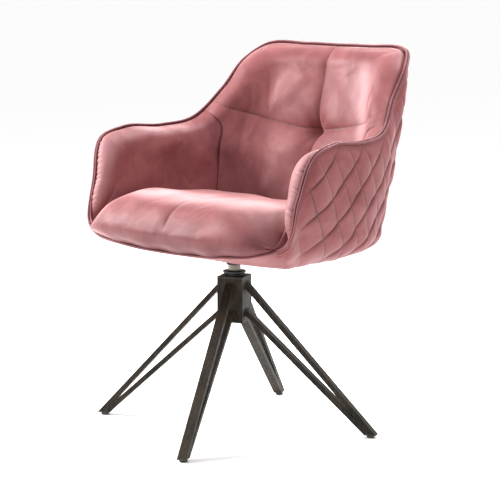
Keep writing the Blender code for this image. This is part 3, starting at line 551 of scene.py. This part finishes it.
MATERIAL_OF_SLOT = {
    "velvet": VELVET,
    "quilted_velvet": QUILTED,
    "piping_velvet": WELT,
    "bronze_paint": BRONZE,
    "black_plastic": BLACK_PLASTIC,
    "nylon": NYLON,
    "steel": STEEL,
    "black_steel": BLACK_STEEL,
    "bearing_steel": BEARING_STEEL,
    "cage_brass": BRASS,
    "plywood": PLYWOOD,
    "shell_board": SHELL_BOARD,
    "dust_cloth": DUST_CLOTH,
}


def paint_cad_nodes():
    """Every CAD node takes its slot's finish."""
    for node in frame["nodes"].values():
        slots = [m.name.split(".")[0] for m in node.data.materials if m]
        slot = next((s for s in slots if s in MATERIAL_OF_SLOT), "bronze_paint")
        node.data.materials.clear()
        node.data.materials.append(MATERIAL_OF_SLOT[slot])


# ---- Quilted outer cover ---------------------------------------------------------
def bulge(share):
    """How much of the bulge the wall has at that share of the way down, from none to all to none."""
    if share < WIDEST_SHARE:
        return 1 - abs(1 - share / WIDEST_SHARE) ** 4
    return math.cos(math.pi / 2 * (share - WIDEST_SHARE) / (1 - WIDEST_SHARE)) ** 1.3


def wall_columns(guides, columns, wall_rows, turn_rows, rise):
    """Points down the bulging wall, round the knee and in under the seat, for each column."""
    rim, knee, under, lip = (a[columns] for a in (guides.rim, guides.knee, guides.under, guides.lip))
    outward = guides.outward[columns]
    height = np.linalg.norm(rim - knee, axis=1)[:, None]
    blend = np.minimum(WALL_BLEND, 0.6 * height)
    turn = knee + (rim - knee) * blend / height
    rows = []
    for share in np.linspace(0.0, 1.0, wall_rows, endpoint=False):
        rows.append(rim + (turn - rim) * share + outward * (WALL_BULGE * bulge(share)) * rise[:, None])
    for t in np.linspace(0.0, 1.0, turn_rows):
        rows.append((1 - t) ** 2 * turn + 2 * t * (1 - t) * knee + t**2 * under)
    for t in (0.33, 0.66, 1.0):
        rows.append(under + (lip - under) * t)
    return np.stack(rows, axis=1)


def quilting(grid, round_length):
    """(how far the quilted cloth stands out, how much painted shade its creases get) at each point of the
    wall.
    """
    t = (grid[..., 2] - BODY_UNDERSIDE) * 1.06
    reach = 1 / QUILT_TURN + t
    turn = round_length[:, None] * QUILT_TURN
    x = reach * np.sin(turn)
    y = reach * np.cos(turn)
    x = x + 0.0015 * ripple(grid[..., 0], grid[..., 1], grid[..., 2], wave=0.12, seed=3)
    puff, painted_shade = 1.0, 0.0
    for side in (1, -1):
        line = (side * x * math.sin(QUILT_ANGLE) - y * math.cos(QUILT_ANGLE)) / QUILT_PITCH + QUILT_PHASE
        offset = (line - np.round(line)) * QUILT_PITCH
        wide = np.where(offset > 0, QUILT_SHARP, QUILT_SOFT)
        depth = np.where(turn * side > 0, 0.80, 1.0)  # each set of lines is fainter on one half
        puff = puff * (1 - depth * np.exp(-np.abs(offset) / wide))
        # painted shade along each line of stitches
        painted_shade = np.maximum(painted_shade, depth * np.exp(-((offset / STITCH_WIDTH) ** 2)))
    return puff, painted_shade


def add_outer_cover():
    """The quilted cover from one front corner round the back to the other, and the plain band between them."""
    guides = Guides(36)
    start, end = COVER_START_STATION, LAST_STATION - COVER_START_STATION
    columns = guides.columns(start, end)
    from_end = np.minimum(guides.station[columns] - start, end - guides.station[columns])
    rise = np.clip(from_end / 2, 0, 1)
    grid = wall_columns(guides, columns, 96, 24, rise)
    normal = grid_normals(grid)
    middle = (guides.rim[columns] + guides.knee[columns]) / 2
    steps = np.linalg.norm(np.diff(middle[:, :2], axis=0), axis=1)
    length = np.concatenate([[0], np.cumsum(steps)])
    length = length[len(length) // 2] - length
    puff, painted_shade = quilting(grid, -length)
    down = np.linalg.norm(grid - grid[:, :1], axis=2)
    share = smoothstep(0.004, 0.040, down) * smoothstep(0.40, 0.425, grid[..., 2])
    share = share * smoothstep(1 / 3, 5 / 3, from_end[:, None])
    lumps = 0.0008 * ripple(grid[..., 0], grid[..., 1], grid[..., 2], wave=0.05, seed=11)
    height = QUILT_HEIGHT * (puff - 0.12) * share + lumps * smoothstep(0.004, 0.02, down)
    grid = grid + normal * height[..., None]
    mesh = grid_mesh("outer_cover_quilted", grid[:, ::-1])
    # painted shade along the stitch lines, fading where the quilting fades
    keep(mesh, "painted_shade", (painted_shade * share * 0.9)[:, ::-1])
    cover = add("outer_cover_quilted", mesh, QUILTED, "seat")
    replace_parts(cover, "outer_cover")

    columns = guides.columns(end, LAST_STATION + start)
    band = wall_columns(guides, columns, 14, 12, np.zeros(len(columns)))
    mesh = grid_mesh("front_band", band[:, ::-1])
    keep(mesh, "painted_shade", np.zeros(band.shape[:2]))
    add("front_band", mesh, QUILTED, "seat")


# ---- Inner pads -----------------------------------------------------------------------
def pad_grid(guides, columns, rows):
    """(the pad's face, from the welt over the roll and down past the seat line, its columns' lengths)."""
    rim, across, crest = guides.rim[columns], guides.across[columns], guides.crest[columns]
    seat = guides.seat[columns]
    station = guides.station[columns]
    from_front = np.minimum(station, LAST_STATION - station) - ARM_START_STATION
    front = smoothstep(0.0, 1.3, from_front) * (1 - smoothstep(2.0, 3.4, from_front))
    back = smoothstep(5.0, 7.0, from_front)
    width = (PAD_THICKNESS * (0.40 + 0.60 * smoothstep(0.0, 1.6, from_front) + 0.15 * back))[:, None]
    drop = (0.012 + 0.022 * smoothstep(0.0, 1.4, from_front) + 0.020 * back)[:, None]
    rise = (0.013 * front)[:, None]
    # from under the welt round the roll, straight down the inner face, and on past the seat line
    controls = [rim - across * 0.0040 - crest * 0.0055]
    for angle in np.radians((12, 30, 50, 70, 90)):
        out = width * math.sin(angle)
        lift = rise * math.sin(2 * angle) - drop * (1 - math.cos(angle))
        controls.append(rim - across * out + crest * lift)
    top = controls[-1]
    for share in (0.35, 0.7, 1.0):
        controls.append(top + (seat - top) * share)
    below = unit(seat - top)
    controls.append(seat + below * (0.017 + 0.017 * smoothstep(0.8, 1.8, from_front))[:, None])
    return spline_rows(np.stack(controls, axis=1), rows)


def eased(grid, reach, weight):
    """The grid with its folds along the columns opened out over that many columns."""
    steps = np.arange(-3 * reach, 3 * reach + 1)
    kernel = np.exp(-0.5 * (steps / reach) ** 2)
    kernel /= kernel.sum()
    ends = [np.repeat(grid[:1], 3 * reach, axis=0), grid, np.repeat(grid[-1:], 3 * reach, axis=0)]
    long = np.concatenate(ends)
    soft = sum(k * long[i : i + len(grid)] for i, k in enumerate(kernel))
    return grid + (soft - grid) * weight[..., None]


def seam_gaps(p):
    """(distance from the back's upright seam, height above its cross seam) of each point."""
    x = np.abs(p[..., 0])
    return x, p[..., 2] - (TUFT_HEIGHT + SEAM_CURVE * x**2)


def back_relief(p):
    """(how deep the back pad is drawn in by its seams, tuft and wrinkles, where the stitches hold it)."""
    x, above = seam_gaps(p)
    z = p[..., 2]
    r = np.hypot(x, z - TUFT_HEIGHT)
    near_tuft = np.exp(-r / 0.055)
    # the seams' two valleys, deeper near the tuft, then the tuft itself and the creases that fan out from it
    upright = (0.0030 + 0.0130 * near_tuft) * np.exp(-x / (0.010 + 0.016 * near_tuft))
    level = (0.0016 + 0.0120 * near_tuft) * np.exp(-np.abs(above) / (0.008 + 0.014 * near_tuft))
    level = level * (1 - smoothstep(0.14, 0.24, x))
    tuft = 0.013 * np.exp(-((r / 0.022) ** 1.5))
    angle = np.arctan2(z - TUFT_HEIGHT, p[..., 0])
    fan = 0.0010 * np.sin(9 * angle + 0.8) * np.exp(-r / 0.05) * smoothstep(0.0, 0.03, r)
    # the panels between the seams stand out, and so does a roll in the small of the back
    puffs = 0.0075 * (1 - np.exp(-x / 0.055)) * (1 - np.exp(-np.abs(above) / 0.045))
    lumbar = 0.006 * np.exp(-(((z - 0.600) / 0.035) ** 2)) * smoothstep(0.0, 0.05, x)
    held = (x < 0.004) | (np.abs(above) < 0.0035)
    return upright + level + tuft + fan - puffs - lumbar, held


def pleats(guides, columns, down, from_front):
    """Short gathers where the arm's front roll is sewn to the welt."""
    rim = guides.rim[columns]
    along = np.cumsum(np.linalg.norm(np.diff(rim, axis=0, prepend=rim[:1]), axis=1))
    wave = np.sin(2 * math.pi * along / 0.0115 + 1.3 * np.sin(along * 90))[:, None]
    wave = wave * (0.65 + 0.35 * np.sin(along * 140))[:, None]
    where = smoothstep(0.5, 1.0, from_front) * (1 - smoothstep(2.0, 2.6, from_front))
    return wave * where * np.exp(-(((down - 0.012) / 0.011) ** 2))


def mark_back(mesh):
    """Grooves along the back's two seams with painted shade in them, and a painted highlight on its right
    wing.
    """
    p = points_of(mesh)
    x, above = seam_gaps(p)
    fade = 1 - smoothstep(0.22, 0.27, x)
    # painted shade along both seams, over their grooves
    painted_shade = np.maximum(np.exp(-((x / 0.0011) ** 2)), fade * np.exp(-((above / 0.0011) ** 2)))
    groove = 0.0012 * np.maximum(np.exp(-x / 0.002), fade * np.exp(-np.abs(above) / 0.002))
    move_points(mesh, p - normals_of(mesh) * groove[:, None])
    keep(mesh, "painted_shade", 0.85 * painted_shade)
    # a painted highlight in a band down the right wing, its edge wandering a little
    wander = 0.004 * ripple(p[:, 0], p[:, 1], p[:, 2], wave=0.09, seed=41)
    side = p[:, 0] - 0.155 + 0.25 * (p[:, 2] - 0.70) + wander
    painted_highlight = 0.55 * np.exp(-((side / 0.030) ** 2)) * smoothstep(0.60, 0.68, p[:, 2])
    keep(mesh, "nap_and_highlight", painted_highlight * (1 - smoothstep(0.79, 0.83, p[:, 2])))


def mark_arm(mesh):
    """Painted shade in the folds of the arm's gathers, and a painted highlight down its front."""
    p = points_of(mesh)
    # painted shade in the folds of the gathers
    painted_shade = np.zeros(len(p), np.float32)
    mesh.attributes["gathers"].data.foreach_get("value", painted_shade)
    mesh.attributes.remove(mesh.attributes["gathers"])
    keep(mesh, "painted_shade", 0.85 * painted_shade)
    # a painted highlight in a band down the arm's front, on its inner side
    painted_highlight = np.exp(-(((p[:, 1] - AXIS_Y + 0.150 - 0.35 * (p[:, 2] - 0.55)) / 0.022) ** 2))
    inner = smoothstep(0.20, 0.25, np.abs(p[:, 0]))
    keep(mesh, "nap_and_highlight", 0.24 * painted_highlight * smoothstep(0.47, 0.52, p[:, 2]) * inner)


def add_pad(node, first, last, samples, rows):
    """The velvet pad that replaces the node, between two stations of the rim."""
    name = f"{node}_velvet"
    is_back = node == "back_pad"
    guides = Guides(samples)
    columns = guides.columns(first, last)
    grid, lengths = pad_grid(guides, columns, rows)
    down = np.linspace(0, 1, rows)[None, :] * lengths[:, None]
    from_end = np.minimum(np.arange(len(grid)), np.arange(len(grid))[::-1])[:, None]
    reach = BACK_EASE if is_back else ARM_EASE
    grid = eased(grid, reach, smoothstep(0.010, 0.075, down) * smoothstep(0, 1.6 * reach, from_end))
    normal = grid_normals(grid)
    to_sitter = (guides.crest[columns] - guides.across[columns])[:, None]
    way = 1 if np.sum(normal * to_sitter, axis=2).mean() > 0 else -1
    normal = normal * way
    order = slice(None, None, way)  # of the rows, so that the faces look at the sitter
    on_face = smoothstep(0.012, 0.055, down)
    pinned = np.zeros(grid.shape[:2], bool)
    if is_back:
        depth, held = back_relief(grid)
        depth = depth * on_face
        pinned |= held & (down > 0.04)
    else:
        station = guides.station[columns]
        from_front = (np.minimum(station, LAST_STATION - station) - ARM_START_STATION)[:, None]
        depth = -0.004 * on_face * smoothstep(0.3, 1.5, from_front)
        depth = depth + 0.0016 * ripple(grid[..., 0], grid[..., 1], grid[..., 2], wave=0.11, seed=21) * on_face
        gathers = pleats(guides, columns, down, from_front)
        depth = depth + 0.0014 * gathers
    # the seam between back and arm is a soft valley along each pad's end
    inner_end = -1 if first < LAST_STATION / 2 else 0
    for end in (0, -1) if is_back else (inner_end,):
        gap = np.linalg.norm(grid - grid[end][None], axis=2)
        depth = depth + 0.0032 * np.exp(-gap / 0.010) * smoothstep(0.006, 0.03, down)
    grid = grid - normal * depth[..., None]
    pinned[:, :3] = True
    pinned[:, -5:] = True
    pinned[:2] = True
    pinned[-2:] = True
    mesh = grid_mesh(name, grid[:, order])
    if not is_back:
        # the folds of the gathers, kept for their painted shade
        keep(mesh, "gathers", (np.maximum(gathers, 0) ** 3)[:, order])
    mesh = swell(name, mesh, pinned[:, order].ravel(), PAD_PRESSURE)
    mesh = subdivided(mesh)
    if is_back:
        mark_back(mesh)
    else:
        mark_arm(mesh)
    pad = add(name, mesh, VELVET, "seat")
    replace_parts(pad, node)
    return pad


# ---- Seat cushion ------------------------------------------------------------------------
def cushion_form(guides):
    """The cushion's closed outline: its foot, its sides up to the seat line, and rings over its crown."""
    line = guides.seat
    middle = np.array([0, line[:, 1].mean(), CROWN_HEIGHT])
    depth = line[:, 1].max() - line[:, 1].min()
    station = np.minimum(guides.station, LAST_STATION - guides.station)
    front = (1 - smoothstep(2.6, 3.6, station))[:, None]
    foot = shrunk(guides.under, 0.018)
    foot[:, 2] = BODY_UNDERSIDE + 0.024
    inner = shrunk(line, 0.004)
    inner[:, 2] -= 0.030
    start = guides.rim - guides.outward * 0.0015 + np.array([0, 0, 0.001])
    bulge = (guides.rim + line) / 2 + guides.outward * 0.009
    low = inner * (1 - front) + start * front
    mid = (inner * 0.5 + line * 0.5) * (1 - front) + bulge * front
    rings = [foot, low, mid, line]
    for share in CROWN_SHARES:
        ring = middle + (line - middle) * (1 - share)
        fall = CUSHION_FALL * np.clip((ring[:, 1] - line[:, 1].min()) / depth - FALL_START, 0, 1)
        ring[:, 2] = line[:, 2] + (CROWN_HEIGHT - fall - line[:, 2]) * (1 - (1 - share) ** 8)
        rings.append(ring)
    grid = np.stack(rings, axis=1)
    mesh = grid_mesh("seat_cushion_velvet", grid, closed=True)
    form = bmesh.new()
    form.from_mesh(mesh)
    bmesh.ops.holes_fill(form, edges=form.edges)
    bmesh.ops.recalc_face_normals(form, faces=form.faces)
    form.to_mesh(mesh)
    form.free()
    return mesh


def even_mesh(mesh):
    """The mesh made again of small even faces, a little smoothed."""
    obj = bpy.data.objects.new("voxels", mesh)
    bpy.context.scene.collection.objects.link(obj)
    remesh = obj.modifiers.new("even", "REMESH")
    remesh.mode = "VOXEL"
    remesh.voxel_size = VOXEL
    soft = obj.modifiers.new("soft", "SMOOTH")
    soft.factor = 0.5
    soft.iterations = 10
    mesh = applied(obj)
    bpy.data.objects.remove(obj)
    return mesh


def add_cushion():
    guides = Guides(12)
    mesh = even_mesh(cushion_form(guides))
    p = points_of(mesh)
    pinned = (p[:, 2] < guides.seat[:, 2].min() - 0.012) | ((np.abs(p[:, 0]) < 0.004) & (p[:, 2] > 0.47))
    mesh = swell("seat_cushion_velvet", mesh, pinned, CUSHION_PRESSURE)
    mesh = subdivided(mesh)
    p = points_of(mesh)
    x = np.abs(p[:, 0])
    upper = smoothstep(0.470, 0.500, p[:, 2])
    seam = upper * (0.0028 * np.exp(-x / 0.012) + 0.0012 * np.exp(-x / 0.003))
    lobes = 0.0020 * upper * np.sin(math.pi * np.clip(x / 0.26, 0, 1)) ** 1.2
    lumps = 0.0016 * ripple(p[:, 0], p[:, 1], p[:, 2], wave=0.12, seed=31)
    move_points(mesh, p + normals_of(mesh) * (lobes + lumps - seam)[:, None])
    # painted shade on the seat's front below the crown, and along its middle seam
    wander = 0.008 * ripple(p[:, 0], p[:, 1], wave=0.07, seed=5)
    dark = 0.38 * (1 - smoothstep(0.455, 0.520, p[:, 2] + wander))
    dark = dark * smoothstep(-0.02, 0.06, -(p[:, 1] - AXIS_Y) - 0.12)
    keep(mesh, "painted_shade", np.maximum(0.85 * upper * np.exp(-((x / 0.0012) ** 2)), dark))
    # a painted highlight in a band across the crown
    painted_highlight = np.exp(-(((p[:, 1] - AXIS_Y + 0.115 + 0.02 * lumps / 0.0016) / 0.060) ** 2))
    keep(mesh, "nap_and_highlight", 0.65 * painted_highlight * smoothstep(0.520, 0.538, p[:, 2]))
    mesh.shade_smooth()
    cushion = add("seat_cushion_velvet", mesh, VELVET, "seat")
    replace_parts(cushion, "seat_cushion")
    return cushion


# ---- Double welt -----------------------------------------------------------------------------
def cord_object(name, points, radius, material, body="seat"):
    """A closed cord through the points, whose thickness wavers a little along it."""
    curve = bpy.data.curves.new(name, "CURVE")
    curve.dimensions = "3D"
    curve.bevel_depth = radius
    curve.bevel_resolution = 4
    spline = curve.splines.new("POLY")
    spline.points.add(len(points) - 1)
    flat = np.concatenate([points, np.ones((len(points), 1))], axis=1)
    spline.points.foreach_set("co", flat.ravel())
    along = np.arange(len(points))
    spline.points.foreach_set("radius", 1 + 0.035 * np.sin(along * 0.9) * np.sin(along * 0.23))
    spline.use_cyclic_u = True
    spline.use_smooth = True
    curve.materials.append(material)
    obj = bpy.data.objects.new(name, curve)
    bpy.context.scene.collection.objects.link(obj)
    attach(obj, body)
    return obj


def eased_round(vectors, reach):
    """Unit vectors along a closed loop, with their quick turns spread over that many columns."""
    steps = np.arange(-2 * reach, 2 * reach + 1)
    return unit(sum(np.roll(vectors, k, axis=0) * math.exp(-0.5 * (k / reach) ** 2) for k in steps))


def add_welt():
    """Two cords side by side along the rim, and a dark strip in the groove between them, as painted shade."""
    guides = Guides(24)
    half = CORD_SPACING / 2
    across, crest = eased_round(guides.across, 8), eased_round(guides.crest, 8)
    outer = guides.rim + across * half + crest * 0.0012
    inner = guides.rim - across * half + crest * 0.0030
    cords = [
        cord_object("welt_cord_outer", outer, CORD_RADIUS, WELT),
        cord_object("welt_cord_inner", inner, CORD_RADIUS, WELT),
    ]
    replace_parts(cords[0], "rim_piping")
    # a dark strip in the groove between the cords, standing in for its shade
    sides = [guides.rim + guides.across * side * half - guides.crest * 0.0012 for side in (1, -1)]
    groove_shade = np.stack(sides, axis=1)
    mesh = grid_mesh("welt_groove_shade", groove_shade, closed=True)
    keep(mesh, "painted_shade", np.full(groove_shade.shape[:2], 0.9))
    add("welt_groove_shade", mesh, WELT, "seat")


# ---- Base, swivel and welds --------------------------------------------------------------------
def turned_piece(name, profile, material, body, replaced, sides=96, centre=(0.0, AXIS_Y)):
    """A turned piece from (radius, height) points that run down its outer side."""
    angles = np.arange(sides) * 2 * math.pi / sides
    x0, y0 = centre
    grid = np.array([[(x0 + r * math.cos(a), y0 + r * math.sin(a), z) for r, z in profile] for a in angles])
    mesh = grid_mesh(name, grid[:, ::-1], closed=True)
    mesh.set_sharp_from_angle(angle=math.radians(32))
    obj = add(name, mesh, material, body)
    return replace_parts(obj, replaced)


def rounded(profile, radius, steps=3):
    """The profile with each corner between its two ends rounded off."""
    points = [np.array(p) for p in profile]
    made = [profile[0]]
    for a, b, c in zip(points, points[1:], points[2:]):
        reach = min(radius, np.linalg.norm(a - b) / 2.1, np.linalg.norm(c - b) / 2.1)
        if reach < 1e-5:
            made.append(tuple(b))
            continue
        start, end = b + unit(a - b) * reach, b + unit(c - b) * reach
        for t in np.linspace(0, 1, steps + 1):
            made.append(tuple((1 - t) ** 2 * start + 2 * t * (1 - t) * b + t**2 * end))
    made.append(profile[-1])
    return made


def add_swivel():
    """The turned pieces: the cup on the hub, the collar and the spindle under the seat, and the glides."""
    plastic = BLACK_PLASTIC
    cup_low, cup_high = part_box("bearing_cup")
    lip = (cup_high.x - cup_low.x) / 2
    body = lip - 0.003
    top, low = cup_high.z, cup_low.z
    bore = 0.0213
    cup = [(bore, top - 0.0012), (bore, top), (lip, top), (lip, top - 0.004), (body, top - 0.006), (body, low)]
    turned_piece("bearing_cup_turned", rounded(cup, 0.0009), plastic, "base", "bearing_cup")
    low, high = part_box("swivel_collar")
    radius = (high.x - low.x) / 2
    groove = radius - 0.0012
    bore = 0.0147
    collar = [
        (bore, high.z),
        (radius, high.z),
        (radius, low.z + 0.0055),
        (groove, low.z + 0.0050),
        (groove, low.z + 0.0042),
        (radius, low.z + 0.0036),
        (radius, low.z),
        (bore, low.z),
    ]
    collar = rounded(collar, 0.0008)
    turned_piece("swivel_collar_turned", collar, plastic, "seat", "swivel_collar")
    low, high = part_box("spindle")
    neck, flange, journal = 0.0145, 0.0195, 0.0120
    spindle = [
        (0.0, high.z),
        (neck, high.z),
        (neck, top + 0.0006),
        (flange, top - 0.0002),
        (flange, top - 0.0013),
        (journal, top - 0.0013),
        (journal, low.z + 0.001),
        (journal - 0.001, low.z),
        (0.0, low.z),
    ]
    turned_piece("spindle_turned", spindle, STEEL, "seat", "spindle")
    for k in range(1, 5):
        low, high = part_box(f"floor_glide_{k}")
        middle = (low + high) / 2
        stem, disc, disc_top = 0.003, 0.009, 0.0057
        glide = [(0.0, high.z), (stem, high.z), (stem, disc_top), (disc, disc_top), (disc, 0.0010)]
        glide += [(0.0078, 0.0), (0.0, 0.0)]
        name = f"floor_glide_turned_{k}"
        replaced = f"floor_glide_{k}"
        centre = (middle.x, middle.y)
        turned_piece(name, rounded(glide, 0.0008), plastic, "base", replaced, 48, centre)


def bead(name, corners, radius=0.0014):
    """A weld bead round the corners: a tube whose thickness and path ripple like run metal."""
    points = []
    for a, b in zip(corners, corners[1:] + corners[:1]):
        count = max(4, int((b - a).length / 0.0012))
        points += [a + (b - a) * k / count for k in range(count)]
    points = np.array([tuple(p) for p in points])
    along = np.arange(len(points))
    points[:, 2] += 0.00035 * np.sin(along * 0.8) + 0.0002 * np.sin(along * 0.31)
    return cord_object(name, points, radius, BRONZE, body="base")


def add_welds():
    """Beads where the bars meet the hub, along each bar's outline on the hub's face."""
    leg_turn = math.radians(22)
    half_hub = 0.0305
    half_bar = 0.0105
    hub_low, hub_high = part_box("hub_tube")
    for k in range(4):
        place = Matrix.Translation((0, AXIS_Y, 0)) @ Matrix.Rotation(leg_turn + k * math.pi / 2, 4, "Z")
        levels = {
            "upper": (hub_high.z - 0.010, hub_high.z - 0.0262),
            "lower": (hub_low.z + 0.0288, hub_low.z + 0.014),
        }
        for part, (high, low) in levels.items():
            outline = ((-half_bar, high), (half_bar, high), (half_bar, low), (-half_bar, low))
            corners = [(half_hub, y, z) for y, z in outline]
            bead(f"weld_{part}_{k + 1}", [place @ Vector(c) for c in corners])


# ---- Studio --------------------------------------------------------------------------------------
def add_light(name, location, target, size, power):
    light = bpy.data.lights.new(name, "AREA")
    light.shape = "DISK"
    light.size = size
    light.energy = power
    obj = bpy.data.objects.new(name, light)
    bpy.context.scene.collection.objects.link(obj)
    obj.location = location
    obj.rotation_euler = (Vector(target) - Vector(location)).to_track_quat("-Z", "Y").to_euler()


def add_studio():
    scene = bpy.context.scene
    mesh = bpy.data.meshes.new("floor")
    reach = 30.0
    corners = [(-reach, -reach, 0), (reach, -reach, 0), (reach, reach, 0), (-reach, reach, 0)]
    mesh.from_pydata(corners, [], [(0, 1, 2, 3)])
    floor = bpy.data.objects.new("floor", mesh)
    scene.collection.objects.link(floor)
    n = Nodes("studio_floor")
    n.set(Base_Color=(0.97, 0.97, 0.97, 1), Roughness=0.85, Specular_IOR_Level=0.1)
    mesh.materials.append(n.material)

    world = bpy.data.worlds.new("studio")
    world.use_nodes = True
    background = world.node_tree.nodes["Background"].inputs
    background["Color"].default_value = (1, 1, 1, 1)
    background["Strength"].default_value = 1.0
    scene.world = world

    middle = (0.0, AXIS_Y, 0.50)
    add_light("key", (-2.0, -1.3, 1.8), middle, 0.8, 130)
    add_light("top", (0.2, 0.9, 2.6), middle, 1.2, 60)
    add_light("rim", (-1.0, 2.0, 1.6), middle, 0.9, 42)
    scene.view_settings.view_transform = "Standard"

    camera = bpy.data.cameras.new("camera")
    camera.lens = 135.4
    camera.sensor_width = 36.0
    obj = bpy.data.objects.new("camera", camera)
    scene.collection.objects.link(obj)
    obj.location = (2.7825, -3.1156 + AXIS_Y, 1.0849)
    obj.rotation_euler = (math.pi / 2 - 0.16112, 0, 0.72057)
    scene.camera = obj


paint_cad_nodes()
add_outer_cover()
add_pad("back_pad", DART_STATION, LAST_STATION - DART_STATION, 18, 96)
add_pad("arm_pad_right", ARM_START_STATION, DART_STATION, 36, 56)
add_pad("arm_pad_left", LAST_STATION - DART_STATION, LAST_STATION - ARM_START_STATION, 36, 56)
add_cushion()
add_welt()
add_swivel()
add_welds()
add_studio()
